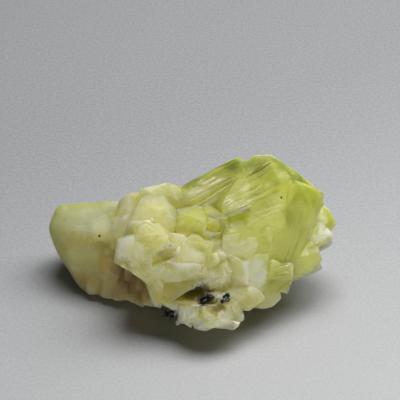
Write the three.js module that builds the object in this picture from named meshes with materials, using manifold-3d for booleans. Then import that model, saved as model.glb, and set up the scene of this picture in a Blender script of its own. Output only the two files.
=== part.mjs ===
// Brazilianite crystal cluster: a hand specimen broken from its pocket, lying on its rough underside.
// A blunt milky crystal points left, a jumble of small blocky crystals fills the middle, a fan of
// large striated crystals points right, and a granular lip runs along the front foot. All of that grew
// as one intergrown mass, so it is one solid. Three black schorl grains sit in pits of the front side.
//
// Millimetres, +Z up, +X along the cluster towards the tips of the fan, -Y the front.
// The origin is on the resting plane, under the middle of the cluster's box.

import * as THREE from "three";
import { ConvexGeometry } from "three/addons/geometries/ConvexGeometry.js";
import { mergeVertices } from "three/addons/utils/BufferGeometryUtils.js";
import Module from "manifold-3d";

const wasm = await Module();
wasm.setup();

const GRAIN_GAP = 0.3; // free space round a schorl grain in its pit
const SLIVER = 0.05; // steps smaller than this are closed up
const FAN_LAY = [0.88, 0.34, 0.33]; // the direction that the crystals of the fan tend to lie along
const MIDDLE_LAY = [0.7, 0.1, 0.4]; // the same for the small crystals of the middle
const GOLDEN_ANGLE = Math.PI * (3 - Math.sqrt(5));
const RESTING_LEVEL = -2.6; // the feet stand here, and the lip and the fan hang clear of it

const v3 = (x, y, z) => new THREE.Vector3(x, y, z);

// A repeatable source of numbers between two limits.
function randomFrom(seed) {
  let state = seed;
  return (low = 0, high = 1) => {
    state = (state + 0x6d2b79f5) | 0;
    let mixed = Math.imul(state ^ (state >>> 15), 1 | state);
    mixed = (mixed + Math.imul(mixed ^ (mixed >>> 7), 61 | mixed)) ^ mixed;
    return low + ((high - low) * ((mixed ^ (mixed >>> 14)) >>> 0)) / 2 ** 32;
  };
}

// The solid whose corners are the outermost of the given points.
function hull(points) {
  const geometry = new ConvexGeometry(points);
  geometry.deleteAttribute("normal");
  const merged = mergeVertices(geometry);
  return new wasm.Manifold(
    new wasm.Mesh({
      numProp: 3,
      vertProperties: merged.attributes.position.array,
      triVerts: new Uint32Array(merged.index.array),
    }),
  );
}

// The geometry of a solid, for a mesh.
function geometryOf(solid) {
  const mesh = solid.getMesh();
  const geometry = new THREE.BufferGeometry();
  geometry.setAttribute("position", new THREE.BufferAttribute(mesh.vertProperties, 3));
  geometry.setIndex(new THREE.BufferAttribute(mesh.triVerts, 1));
  return geometry;
}

// Directions across a crystal: side lies level, out points as far up as it can, both turned by spin degrees.
function crossways(axis, spin) {
  const side = v3(0, 0, 1).cross(axis).normalize();
  side.applyAxisAngle(axis, THREE.MathUtils.degToRad(spin));
  const out = axis.clone().cross(side);
  return { side, out };
}

// The eight-sided section of a brazilianite prism, one unit from its middle to its widest faces.
const SECTION = [
  [1, 0.3], [0.5, 1], [-0.5, 1], [-1, 0.3],
  [-1, -0.3], [-0.5, -1], [0.5, -1], [1, -0.3],
];

// One crystal from root to tip. Its section widens from foot times full size at the root, is full size up to
// its head, and closes to the crown, whose shares of width and depth set a point, a chisel or a blunt end.
function crystal({ root, tip, width, depth, spin = 0, foot, head, crown }) {
  const from = v3(...root);
  const axis = v3(...tip).sub(from);
  const { side, out } = crossways(axis.clone().normalize(), spin);
  const ring = (along, shareWide, shareDeep) =>
    SECTION.map(([a, b]) =>
      from
        .clone()
        .addScaledVector(axis, along)
        .addScaledVector(side, (a * shareWide * width) / 2)
        .addScaledVector(out, (b * shareDeep * depth) / 2),
    );
  return hull([...ring(0, foot, foot), ...ring(1 - head, 1, 1), ...ring(1, ...crown)]);
}

// A crystal with parallel plates grown through it, whose edges stand proud of its faces as long low steps.
// The plates lie by turns across its width and across its depth.
function bundle({ plates, seed, ...spec }) {
  const random = randomFrom(seed);
  const from = v3(...spec.root);
  const axis = v3(...spec.tip).sub(from);
  const { side, out } = crossways(axis.clone().normalize(), spec.spin);
  const solids = [crystal(spec)];
  for (let i = 0; i < plates; i++) {
    const across = i % 2 === 0;
    const [direction, reach] = across ? [side, spec.width / 2] : [out, spec.depth / 2];
    const thin = random(0.12, 0.42);
    const proud = random(1.015, 1.065);
    const offset = direction.clone().multiplyScalar(reach * (1 - thin) * random(-0.85, 0.85));
    solids.push(
      crystal({
        ...spec,
        root: from.clone().addScaledVector(offset, spec.foot).toArray(),
        tip: from.clone().addScaledVector(axis, random(0.78, 1)).add(offset).toArray(),
        width: spec.width * (across ? thin : proud),
        depth: spec.depth * (across ? proud : thin),
        head: random(0.05, 0.13),
        crown: [0.9, 0.9],
      }),
    );
  }
  return solids;
}

// Slim ribs laid side by side on a face, from the line first to the line last, each line a root and a tip.
function ribs({ first, last, count, width, depth, seed }) {
  const random = randomFrom(seed);
  return Array.from({ length: count }, (_, i) => {
    const share = (i + random(-0.3, 0.3)) / (count - 1);
    const root = v3(...first[0]).lerp(v3(...last[0]), share);
    const tip = v3(...first[1]).lerp(v3(...last[1]), share);
    return crystal({
      root: root.clone().lerp(tip, random(0, 0.3)).toArray(),
      tip: root.clone().lerp(tip, random(0.7, 1)).toArray(),
      width: width * random(0.6, 1.4),
      depth: depth * random(0.7, 1.3),
      foot: 0.6,
      head: 0.1,
      crown: [0.5, 0.5],
    });
  });
}

// A broken lump with flat faces: the outermost of random points on an ellipsoid with the given half sizes.
function chunk({ at, size, corners = 22, seed }) {
  const random = randomFrom(seed);
  const points = Array.from({ length: corners }, (_, i) => {
    const height = 1 - (2 * (i + random())) / corners;
    const around = i * GOLDEN_ANGLE + random();
    const ring = Math.sqrt(1 - height * height);
    const outward = v3(ring * Math.cos(around), ring * Math.sin(around), height);
    return v3(...size).multiply(outward).add(v3(...at));
  });
  return hull(points);
}

// A chip with six skewed faces: its length lies along the direction lay, its broad face towards face.
// Each corner has the chance cut of being broken off, which leaves a three-sided facet.
function chip({ at, lay, face, size, random, skew = 0.22, cut = 0.3 }) {
  const axis = v3(...lay).normalize();
  const side = v3(...face).cross(axis).normalize();
  const out = axis.clone().cross(side);
  const points = [];
  const put = ([along, aside, above]) =>
    points.push(
      v3(...at)
        .addScaledVector(axis, along * size[0])
        .addScaledVector(side, aside * size[1])
        .addScaledVector(out, above * size[2]),
    );
  for (const a of [-0.5, 0.5])
    for (const b of [-0.5, 0.5])
      for (const c of [-0.5, 0.5]) {
        const corner = [a, b, c].map((half) => half + random(-skew, skew) / 2);
        const whole = random() > cut;
        if (whole) put(corner);
        else for (const k of [0, 1, 2]) put(corner.with(k, corner[k] * random(0.1, 0.7)));
      }
  return hull(points);
}

// A random place on an ellipsoidal patch round at, between two directions, each in degrees round Z and
// degrees above the level.
function placeOn({ at, size, from, to }, random) {
  const around = THREE.MathUtils.degToRad(random(from[0], to[0]));
  const height = THREE.MathUtils.degToRad(random(from[1], to[1]));
  const outward = v3(Math.cos(around), Math.sin(around), Math.tan(height)).normalize();
  const point = v3(...size).multiply(outward).add(v3(...at));
  const normal = outward.divide(v3(...size)).normalize();
  return { point, normal };
}

// Chips grown over such a patch. They lie like shingles along the direction grain, tipped out of the patch
// by up to the share tip, and stand proud of it by about the length proud.
function jumble({ count, length, width, grain, seed, tip = 0.35, proud = 0.4, skew, ...patch }) {
  const random = randomFrom(seed);
  const stray = (share) => v3(random(-share, share), random(-share, share), random(-share, share));
  return Array.from({ length: count }, () => {
    const { point, normal } = placeOn(patch, random);
    const thick = random(0.5, 0.8) * random(...width);
    const place = point.addScaledVector(normal, proud * random(0.4, 1.2) - thick / 2);
    const face = normal.clone().add(stray(tip));
    const lay = v3(...grain).add(stray(0.6));
    lay.addScaledVector(face, -lay.dot(face) / face.lengthSq());
    return chip({
      at: place.toArray(),
      lay: lay.toArray(),
      face: face.toArray(),
      size: [random(...length), random(...width), thick],
      random,
      skew,
    });
  });
}

// Broken lumps set into such a patch, with half sizes round the range half, each a little proud of it.
function lumps({ count, half, seed, ...patch }) {
  const random = randomFrom(seed);
  return Array.from({ length: count }, (_, i) => {
    const { point, normal } = placeOn(patch, random);
    const radius = random(...half);
    const place = point.addScaledVector(normal, random(0.1, 0.4) - 0.8 * radius);
    const size = [radius * random(0.9, 1.4), radius * random(0.8, 1.1), radius * random(0.8, 1.2)];
    return chunk({ at: place.toArray(), size, corners: 12, seed: seed + i });
  });
}

// The broken mass that the crystals grew from.
function brokenMass() {
  return [
    chunk({ at: [-2, -0.2, 6.4], size: [9.6, 7, 5.6], corners: 26, seed: 3 }),
    chunk({ at: [-7.6, 2.6, 4.6], size: [4.6, 5.6, 5.6], seed: 8 }),
    chunk({ at: [1, 5.8, 6.2], size: [12, 5.2, 6], corners: 26, seed: 13 }),
    chunk({ at: [-6.6, -3.9, 6.4], size: [4.8, 4.6, 5], seed: 21 }),
    chunk({ at: [-5.5, 1.4, 8.6], size: [5.4, 6.6, 6], seed: 34 }),
    chunk({ at: [-8.6, 6.6, 3.4], size: [4.4, 4, 4.6], seed: 37 }),
    chunk({ at: [-3.4, 4.8, 10.4], size: [4.6, 3.6, 4.2], seed: 35 }),
    chunk({ at: [-5.2, 5, 10], size: [4.6, 3.8, 4.5], seed: 38 }),
    chunk({ at: [-8.4, 4.8, 9.6], size: [3.4, 3, 3.4], seed: 39 }),
    chunk({ at: [-2.4, -6, 3.6], size: [3.8, 3.6, 3.2], seed: 36 }),
    chunk({ at: [9.6, -3.8, 4.2], size: [4.6, 3.4, 3.2], seed: 55 }),
    chunk({ at: [10, -5, 2.2], size: [3.4, 2.4, 2.4], seed: 56 }),
    chunk({ at: [3, -4.2, 5], size: [5, 3.4, 4], seed: 57 }),
  ];
}

// The blunt crystal at the left end: gently bowed faces, a sloping top and an undercut foot.
function leftCrystal() {
  const topBack = [v3(-20.5, 9.3, 7.8), v3(-14.2, 9.9, 8), v3(-7, 8.4, 8.6)];
  const rim = [v3(-20.4, 8.1, 8.2), v3(-14, 8.8, 8.6), v3(-7, 7.4, 9)];
  const topFront = [v3(-21.1, 5.4, 7), v3(-17.4, 3.6, 7.2), v3(-13.5, 2.2, 7), v3(-8, -0.2, 7.4)];
  const end = [v3(-22, 6.6, 5.2), v3(-21.7, 8.8, 5.7), v3(-21.2, 10, 5)];
  const brow = [v3(-21.3, 5.3, 5.4), v3(-18.6, 2.1, 5.4), v3(-14.8, 0.2, 5.3), v3(-10.4, -1.3, 5.6)];
  const waist = [
    v3(-20.9, 5, 1.7), v3(-18.2, 0.9, 1.9), v3(-13, -1.8, 2.4), v3(-19, 10.6, 2), v3(-13, 11.1, 2.8),
  ];
  const foot = [
    v3(-19.4, 4.9, -1.5), v3(-17.8, 1.1, -2), v3(-15.3, -0.1, -2.3), v3(-11.5, -1.3, -2.3),
    v3(-16.8, 9.4, -1.6), v3(-12, 9.6, -2), v3(-8, -1.2, -2.3), v3(-6.6, 6, -2),
  ];
  return hull([...topBack, ...rim, ...topFront, ...end, ...brow, ...waist, ...foot]);
}

// Short prisms grown down the foot of the left crystal, where it meets the middle.
function leftPrisms() {
  const random = randomFrom(49);
  const prism = (at, size, turn) =>
    chip({ at, lay: [0.25, 0.2, 1], face: [turn, -1, -0.1], size, random, cut: 0.5 });
  return [
    prism([-10.3, -1.2, 0.9], [5.6, 2.8, 2.4], 0.2),
    prism([-12.4, -0.8, 0.5], [5.6, 2.6, 2.4], -0.2),
    prism([-14.5, 0.2, 0.5], [5, 2.4, 2.2], -0.35),
    prism([-9.2, -1.4, 4.2], [4.4, 2.4, 2], 0.3),
    prism([-8.2, -2, 1], [5.4, 2.8, 2.4], 0.1),
    prism([-6.4, -3.2, 0.8], [5, 2.8, 2.4], 0.25),
    prism([-7.2, -2.6, 3.6], [4.6, 2.6, 2.2], 0.1),
  ];
}

// The great crystal at the heart of the fan, whose faces step down from the back ridge to the right foot.
function heart() {
  const top = [
    v3(7.9, 7.6, 17), v3(9.2, 8.5, 17.5), v3(11.6, 8.7, 17.7), v3(12.7, 7.8, 17.6), v3(16, 5.9, 15.2),
  ];
  const brow = [v3(4.2, 0.8, 13.9), v3(14.2, 5.7, 16.5), v3(13, 1.9, 14.2)];
  const cheek = [v3(5, -2.4, 12.2), v3(12.6, -1.2, 12), v3(10.2, -3.8, 9.5), v3(5, -4.6, 9.2)];
  const right = [v3(18, 6.6, 13.4), v3(18.5, 5.4, 11.4), v3(15.7, -0.9, 8.4), v3(14.2, -2.8, 5.4)];
  const back = [v3(0, 8, 10), v3(8, 11.4, 11), v3(15, 10.4, 9), v3(17, 8, 6)];
  const foot = [v3(11.5, -4.6, 3.4), v3(3, -3, 2), v3(2, 8, 2.4), v3(13, 7.6, 2.2)];
  return hull([...top, ...brow, ...cheek, ...right, ...back, ...foot]);
}

// The pale crystal at the right end of the fan, with a broad top face and a blunt tip.
function paleCrystal() {
  const top = [v3(16.6, 6.2, 13.4), v3(18.4, 6.2, 12.3), v3(20.7, 6, 9.1), v3(21.64, 4.2, 8.2)];
  const edge = [v3(16.2, 0.2, 7.8), v3(12, -3, 7), v3(12, 2, 11)];
  const under = [v3(20.5, 3.4, 6.4), v3(19.4, 7, 4.6), v3(15.4, 0.8, 4.4), v3(11, -2, 4), v3(11, 6, 5)];
  return hull([...top, ...edge, ...under]);
}

// The other large crystals of the fan, from the back ridge round to the low right side.
const FAN_CRYSTALS = {
  backRidge: {
    root: [-2.6, 4.1, 11.2], tip: [8.1, 7.8, 15.3], width: 4.8, depth: 3.8, spin: 20,
    foot: 0.9, head: 0.06, crown: [0.85, 0.8], plates: 6, seed: 2,
  },
  frontRidge: {
    root: [0, 1.6, 9.6], tip: [14, 6.4, 15.8], width: 6, depth: 4.6, spin: 24,
    foot: 0.8, head: 0.1, crown: [0.8, 0.5], plates: 6, seed: 7,
  },
  steep: {
    root: [11.6, -4.4, 2.6], tip: [17.2, 5, 14.4], width: 6.4, depth: 3.6, spin: 54,
    foot: 0.9, head: 0.1, crown: [0.8, 0.6], plates: 4, seed: 17,
  },
  right: {
    root: [8.5, -1, 3.9], tip: [19.6, 4.2, 8], width: 6.6, depth: 4.4, spin: 42,
    foot: 0.8, head: 0.1, crown: [0.8, 0.55], plates: 4, seed: 23,
  },
  lowRight: {
    root: [7, -3.2, 3.2], tip: [18.7, 0.7, 5.5], width: 5.2, depth: 4.6, spin: 15,
    foot: 0.85, head: 0.16, crown: [0.62, 0.5], plates: 6, seed: 29,
  },
  back: {
    root: [4, 4, 4], tip: [17.6, 8.6, 6.8], width: 6, depth: 5.6, spin: 15,
    foot: 0.85, head: 0.2, crown: [0.5, 0.3], plates: 6, seed: 31,
  },
};

// Ribs that stand on the brow of the heart: a long band along its front, and a short comb at its left end.
const FAN_RIBS = [
  {
    first: [[3.6, 0.9, 13.6], [14.2, 6.2, 16.3]], last: [[4.6, -0.4, 13.1], [13.6, 4, 15.2]],
    count: 6, width: 0.7, depth: 0.7, seed: 41,
  },
  {
    first: [[4.6, 0, 13.4], [10.5, 3.2, 14.8]], last: [[4.8, -0.9, 12.9], [9, 1.2, 13.9]],
    count: 6, width: 0.6, depth: 0.5, seed: 43,
  },
];

// Blocky crystals at the foot of the fan, with level tops and upright fronts.
function blocks() {
  const random = randomFrom(45);
  const block = (at, size, turn) =>
    chip({ at, lay: [0.06, 0.3 + turn, 1], face: [0.1 - turn, -1, 0.4], size, random, cut: 0.55 });
  return [
    block([0.2, -0.1, 11.2], [4, 5, 4.4], 0.08),
    block([3.2, -0.1, 11.1], [4, 3, 4], -0.08),
    block([5.6, -2.3, 9], [4, 2.8, 3.6], 0.1),
    block([8.2, -2.3, 8.8], [3.8, 2.6, 3.4], 0.02),
    block([10.7, -1.5, 9], [5, 2.4, 3.2], 0.2),
    block([9.4, -4.2, 5.7], [6.1, 2.6, 3], 0.1),
    block([6.6, -4.9, 5.6], [5.4, 3.2, 3.2], 0.15),
    block([-0.4, -3.9, 8.7], [4.6, 2.7, 3.2], 0.1),
    block([1.9, -4, 8.4], [4.8, 2.4, 3.2], 0.3),
    block([-2.2, -3.2, 9.2], [4, 2.6, 3.2], 0.35),
  ];
}

// Stout crystals over the front of the middle, from the left crystal across to the white ones beside the pit,
// and the plate whose lower edge overhangs the hollow above the lip.
function stoutCrystals() {
  const random = randomFrom(47);
  const stout = (at, lay, face, size) => chip({ at, lay, face, size, random, skew: 0.3, cut: 0.4 });
  const plateEdge = [v3(-4.8, -8.2, 5), v3(-3, -8.9, 4.2), v3(1.7, -8, 6.4)];
  const plateBack = [v3(-5, -6, 7.3), v3(1.6, -6, 7.5), v3(-4.4, -5, 3.6), v3(0.8, -5, 5.2)];
  return [
    stout([-9.4, -4, 9.5], [0.1, 0.25, 1], [-0.2, -1, 0.45], [4.8, 3, 2.8]),
    stout([-7, -4.9, 10.9], [0.2, 0.3, 1], [0.1, -1, 0.5], [5.2, 3, 2.6]),
    stout([-6.2, -5.7, 8], [1, 0.1, 0.1], [0, -1, 0.25], [4.4, 2.6, 2.6]),
    stout([-4.4, -5, 10.4], [-0.3, 0.4, 1], [0.3, -1, 0.4], [4, 2.6, 2.2]),
    stout([-2.4, -6, 7.3], [1, -0.05, 0.05], [0, -1, 0.5], [6.6, 2.4, 2.4]),
    stout([0.5, -4.6, 9], [0.25, 0.3, 1], [-0.2, -1, 0.3], [4.8, 3, 2.6]),
    stout([-5.3, -6.5, 5.3], [0.25, 0.1, 1], [-0.2, -1, 0.1], [4.8, 3, 3]),
    stout([-8.2, -5.4, 5.7], [0.1, 0.1, 1], [-0.4, -1, 0.1], [4.4, 2.8, 2.8]),
    hull([...plateEdge, ...plateBack]),
  ];
}

// Small crystals over the middle of the mass, in front of the fan and round the back.
function crusts() {
  return [
    lumps({
      at: [-5.8, -1.4, 7], size: [5.6, 6.4, 6], from: [190, -30], to: [335, 75],
      count: 16, half: [1.4, 2.4], seed: 1010,
    }),
    jumble({
      at: [-5.8, -1.4, 7], size: [5.2, 6.2, 5.8], from: [190, -20], to: [335, 60],
      count: 9, length: [2, 4], width: [1.2, 2.6], grain: MIDDLE_LAY, proud: 0.2, skew: 0.4, seed: 101,
    }),
    lumps({
      at: [-5.8, 1.8, 7], size: [6, 5.4, 5.6], from: [0, 10], to: [200, 80],
      count: 16, half: [1.2, 2.4], seed: 1310,
    }),
    jumble({
      at: [0, 4, 6.2], size: [13, 6.6, 5.6], from: [15, -20], to: [165, 40],
      count: 28, length: [3, 7], width: [1.8, 4], grain: FAN_LAY, tip: 0.4, seed: 151,
    }),
    jumble({
      at: [8, -1.2, 5.2], size: [7, 4.8, 4.2], from: [235, -35], to: [330, 20],
      count: 14, length: [2, 4], width: [1.2, 2.4], grain: FAN_LAY, proud: 0.3, skew: 0.35, seed: 171,
    }),
    lumps({
      at: [2, -2.6, 5.8], size: [4.4, 4.6, 4.4], from: [210, -10], to: [330, 60],
      count: 12, half: [0.9, 1.7], seed: 1730,
    }),
  ].flat();
}

// The broken underside: lumps over it, three broad ones that the cluster rests on, and chips round their
// back.
function underside() {
  return [
    ...lumps({
      at: [-1, 1, 5], size: [13, 7.5, 4.6], from: [0, -80], to: [360, -25],
      count: 18, half: [1.6, 2.8], seed: 1910,
    }),
    chunk({ at: [3, -4.6, 0.4], size: [4.8, 3.6, 3.9], seed: 71 }),
    chunk({ at: [-8, 3.4, 1.4], size: [7.4, 4.8, 4.8], corners: 26, seed: 73 }),
    chunk({ at: [4, 3.6, 1.2], size: [9.5, 5.4, 4.6], corners: 26, seed: 75 }),
    ...jumble({
      at: [-1, 3.2, 1.2], size: [12.6, 5.4, 3.8], from: [0, -50], to: [180, 20],
      count: 22, length: [2.4, 5.4], width: [2, 4], grain: [1, 0, 0.3], skew: 0.4, seed: 77,
    }),
  ];
}

// The granular lip along the front foot.
function frontLip() {
  return [
    chunk({ at: [2.6, -8, 2.2], size: [5.2, 3.8, 2.8], corners: 30, seed: 61 }),
    chunk({ at: [7.4, -6.4, 3.2], size: [4, 2.8, 2.4], corners: 26, seed: 63 }),
    chunk({ at: [-0.8, -7.4, 2.4], size: [2.8, 2.4, 2.2], seed: 65 }),
    ...jumble({
      at: [2.6, -8, 2.1], size: [5, 3.8, 2.7], from: [180, -30], to: [360, 60],
      count: 26, length: [1.4, 3], width: [1.1, 2.2], grain: [1, 0, 0.4], tip: 0.5, proud: 0.15, seed: 181,
    }),
  ];
}

// The space under the middle, at its left end, where the left crystal and its prisms show behind it.
function leftRecess() {
  const mouth = [
    v3(-11.6, -10, 11.7), v3(-8.9, -10, 10.2), v3(-6.3, -10, 7.8), v3(-5.1, -10, 3.4), v3(-13, -10, 3),
  ];
  const end = [
    v3(-12, -1.4, 5.6), v3(-9.6, -1.4, 4.6), v3(-7.6, -1.4, 1.8), v3(-6.6, -1.4, -3), v3(-13, -1.4, -3),
  ];
  return hull([...mouth, ...end]);
}

// Hollows between the crystals: the wedge over the lip, a square pit, and recesses in the fan and the middle.
function hollows() {
  const wedgeMouth = [
    v3(-3.6, -10.6, 4.4), v3(1.3, -10.6, 7.9), v3(2.2, -10.6, 6.2), v3(1.9, -10.6, 4.6),
  ];
  const wedgeEnd = [v3(-2.4, -6.8, 3.5), v3(1, -6, 5.2), v3(1.6, -6.2, 3.6)];
  const pit = { at: [3, -1.7, 12.4], lay: [0.1, 0.3, 1], face: [-0.1, -1, 0.3], size: [2.2, 2.1, 2.6] };
  const hollow = { at: [-4.3, -6.3, 10.2], lay: [1, 0.2, 0.35], face: [0, -1, 0.2], size: [2.8, 1.7, 1.6] };
  const recessMouth = [v3(4.5, -3.6, 13.3), v3(8.9, -2.6, 13.9), v3(8, -3.4, 11.9), v3(5.2, -4, 11.5)];
  const recessEnd = [v3(5, 0.4, 13), v3(8.2, 1.2, 13.4), v3(7.3, -0.2, 12.3), v3(5.6, -0.6, 12.2)];
  return [
    hull([...wedgeMouth, ...wedgeEnd]),
    chip({ ...pit, random: randomFrom(88), cut: 0 }),
    hull([...recessMouth, ...recessEnd]),
    chip({ ...hollow, random: randomFrom(87), skew: 0.4, cut: 0.2 }),
  ];
}

// The lumps that each black grain is grown together from.
const GRAINS = {
  schorl_grain_left: [
    { at: [-3.5, -9, 1.7], size: [0.8, 0.8, 0.7], seed: 91 },
    { at: [-2.7, -9, 1.3], size: [0.7, 0.7, 0.6], seed: 92 },
  ],
  schorl_grain_middle: [
    { at: [2.6, -8.9, 4.8], size: [1, 0.8, 0.8], seed: 93 },
    { at: [1.6, -9, 4.2], size: [0.7, 0.7, 0.5], seed: 94 },
  ],
  schorl_grain_right: [{ at: [4.9, -8.9, 4.5], size: [0.8, 0.7, 0.6], seed: 95 }],
};

// A grain with the given free space round it, which makes the pit that it sits in. Its flat faces lie
// inside the ellipsoids of its corners, so those grow a little faster than the space.
function grain(parts, space = 0) {
  const grow = (size) => size.map((half) => half + 1.3 * space);
  return parts
    .map(({ at, size, seed }) => chunk({ at, size: grow(size), corners: 14, seed }))
    .reduce((joined, part) => joined.add(part));
}

// All the crystals joined, opened by the hollows and pits, and worn flat where the cluster rests.
function cluster() {
  const striated = [...Object.values(FAN_CRYSTALS).flatMap(bundle), ...FAN_RIBS.flatMap(ribs)];
  const body = [
    ...brokenMass(), heart(), paleCrystal(), ...striated,
    ...blocks(), ...stoutCrystals(), ...crusts(), ...frontLip(), ...underside(),
  ];
  const joined = (solids) => solids.reduce((whole, solid) => whole.add(solid));
  const pits = Object.values(GRAINS).map((parts) => grain(parts, GRAIN_GAP));
  const grown = joined([joined(body).subtract(leftRecess()), leftCrystal(), ...leftPrisms()]);
  const opened = [...hollows(), ...pits].reduce((left, hollow) => left.subtract(hollow), grown);
  const seated = opened.trimByPlane([0, 0, 1], RESTING_LEVEL).simplify(SLIVER);
  return seated.decompose().sort((a, b) => b.volume() - a.volume())[0];
}

const brazilianite = new THREE.MeshStandardMaterial({ color: 0xb7bb72, roughness: 0.3, metalness: 0 });
const schorl = new THREE.MeshStandardMaterial({ color: 0x17130f, roughness: 0.3, metalness: 0 });

// The cluster and its grains are moved together so that the middle of the cluster's box is over the origin.
const mass = cluster();
const box = mass.boundingBox();
const toOrigin = [-(box.min[0] + box.max[0]) / 2, -(box.min[1] + box.max[1]) / 2, -RESTING_LEVEL];

const specimen = new THREE.Group();
const addNode = (name, solid, material) => {
  const mesh = new THREE.Mesh(geometryOf(solid.translate(toOrigin)), material);
  mesh.name = name;
  specimen.add(mesh);
};
addNode("brazilianite_cluster", mass, brazilianite);
for (const [name, parts] of Object.entries(GRAINS)) addNode(name, grain(parts), schorl);

export default specimen;
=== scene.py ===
import math
import random

import bmesh
import bpy
import numpy as np
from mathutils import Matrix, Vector, noise


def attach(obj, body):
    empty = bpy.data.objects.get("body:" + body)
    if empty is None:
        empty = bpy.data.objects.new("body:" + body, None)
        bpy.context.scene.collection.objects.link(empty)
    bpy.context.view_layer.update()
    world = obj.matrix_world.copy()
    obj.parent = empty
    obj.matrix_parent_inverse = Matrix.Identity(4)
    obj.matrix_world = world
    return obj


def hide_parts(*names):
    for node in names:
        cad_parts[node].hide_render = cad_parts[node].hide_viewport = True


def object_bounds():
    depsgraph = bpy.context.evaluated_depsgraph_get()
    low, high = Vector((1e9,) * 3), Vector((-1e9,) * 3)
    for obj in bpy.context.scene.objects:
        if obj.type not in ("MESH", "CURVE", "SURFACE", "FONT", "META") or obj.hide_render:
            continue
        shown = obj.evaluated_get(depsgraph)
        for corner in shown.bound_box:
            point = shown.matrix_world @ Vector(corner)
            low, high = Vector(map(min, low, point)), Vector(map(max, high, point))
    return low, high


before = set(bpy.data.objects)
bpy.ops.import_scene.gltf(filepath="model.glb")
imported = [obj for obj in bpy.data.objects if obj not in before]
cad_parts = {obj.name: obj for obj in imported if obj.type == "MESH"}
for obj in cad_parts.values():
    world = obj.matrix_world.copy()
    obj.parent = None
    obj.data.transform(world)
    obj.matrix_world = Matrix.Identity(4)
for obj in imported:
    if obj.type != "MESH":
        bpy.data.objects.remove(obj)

CAD_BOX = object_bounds()

MM = 0.001
BODY = "root"
CLUSTER = "brazilianite_cluster"
GRAINS = ("schorl_grain_left", "schorl_grain_middle", "schorl_grain_right")

# Optics of the two minerals, and how far light wanders in the brazilianite.
BRAZILIANITE_IOR = 1.61
SCHORL_IOR = 1.65
ABSORPTION = 500.0
MILKY_DEPTH = 16 * MM
DULL_DEPTH = 1.5 * MM

# Edges blunter than this many degrees are shaded smooth.
CRYSTAL_EDGE = 26
SCHORL_EDGE = 20

# Longest edges of the finished meshes, in millimetres.
UNDERSIDE_DETAIL = 0.78
LEFT_DETAIL = 0.48
BACK_DETAIL = 0.5
LIP_DETAIL = 0.29
FRONT_DETAIL = 0.335
SCHORL_DETAIL = 0.2

# The black grains: how many broken bits each has, and how much smaller its core is than its pit.
GRAIN_BITS = 9
GRAIN_CORE = 0.8

# Small crystals grown on the cluster: half sizes of the crystal they are all made from, in millimetres.
# Then for each place its centre, reach and spacing in millimetres, smallest and largest share of that
# crystal's size, and the seed.
SEED_CRYSTAL = (0.5, 0.3, 0.34)
SCATTERED = (
    ((2.5, -7.6, 6.2), (4.6, 1.8, 1.4), 0.8, 0.5, 1, 1),  # gap over the lip
    ((2.6, -6.2, 8.2), (3.4, 3, 2.8), 0.8, 0.5, 1.2, 2),  # sugary patch
)

# Where things are on the cluster and which way its crystals lie, in millimetres in the frame.
FAN_ROOT = Vector((-2.8, 0.6, 9.6))
FAN_LAY = Vector((0.88, 0.34, 0.33)).normalized()
STEEP_ROOT = Vector((11.8, -3.9, 5.2))
STEEP_LAY = Vector((5.6, 9.4, 11.8)).normalized()
LEFT_LAY = Vector((1, 0.08, 0.06)).normalized()
LIP = Vector((2.5, -7.6, 4.8))
GAP = Vector((-8, -2.6, 4.6))

# Small dark specks, one on the fan and one on the left crystal.
SPECKS = ((13.2, 2.8, 17), (-13.7, 2.7, 9.8))

# Camera: degrees above the floor, distance, width seen at that distance and width of the sensor.
CAMERA_ELEVATION = 38
CAMERA_DISTANCE = 220
CAMERA_FIELD = 57.8
CAMERA_SENSOR = 36
CAMERA_AIM = Vector((1.28, 0.52, 18.3))


# ---------------------------------------------------------------- node trees


class Socket:
    """An output in a node tree. Arithmetic with it adds Math nodes."""

    def __init__(self, output):
        self.output = output

    def math(self, operation, *values, clamp=False):
        node = self.output.id_data.nodes.new("ShaderNodeMath")
        node.operation = operation
        node.use_clamp = clamp
        for socket, value in zip(node.inputs, values):
            feed(socket, value)
        return Socket(node.outputs[0])

    def __add__(self, other):
        return self.math("ADD", self, other)

    def __sub__(self, other):
        return self.math("SUBTRACT", self, other)

    def __rsub__(self, other):
        return self.math("SUBTRACT", other, self)

    def __mul__(self, other):
        return self.math("MULTIPLY", self, other)

    def __lt__(self, other):
        return self.math("LESS_THAN", self, other)

    def clamped(self):
        return self.math("ADD", self, 0.0, clamp=True)

    def absolute(self):
        return self.math("ABSOLUTE", self)

    __radd__ = __add__
    __rmul__ = __mul__


def feed(socket, value):
    """Links a Socket to a node's input, or sets a plain value on it."""
    if isinstance(value, Socket):
        socket.id_data.links.new(value.output, socket)
    else:
        socket.default_value = value


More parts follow.
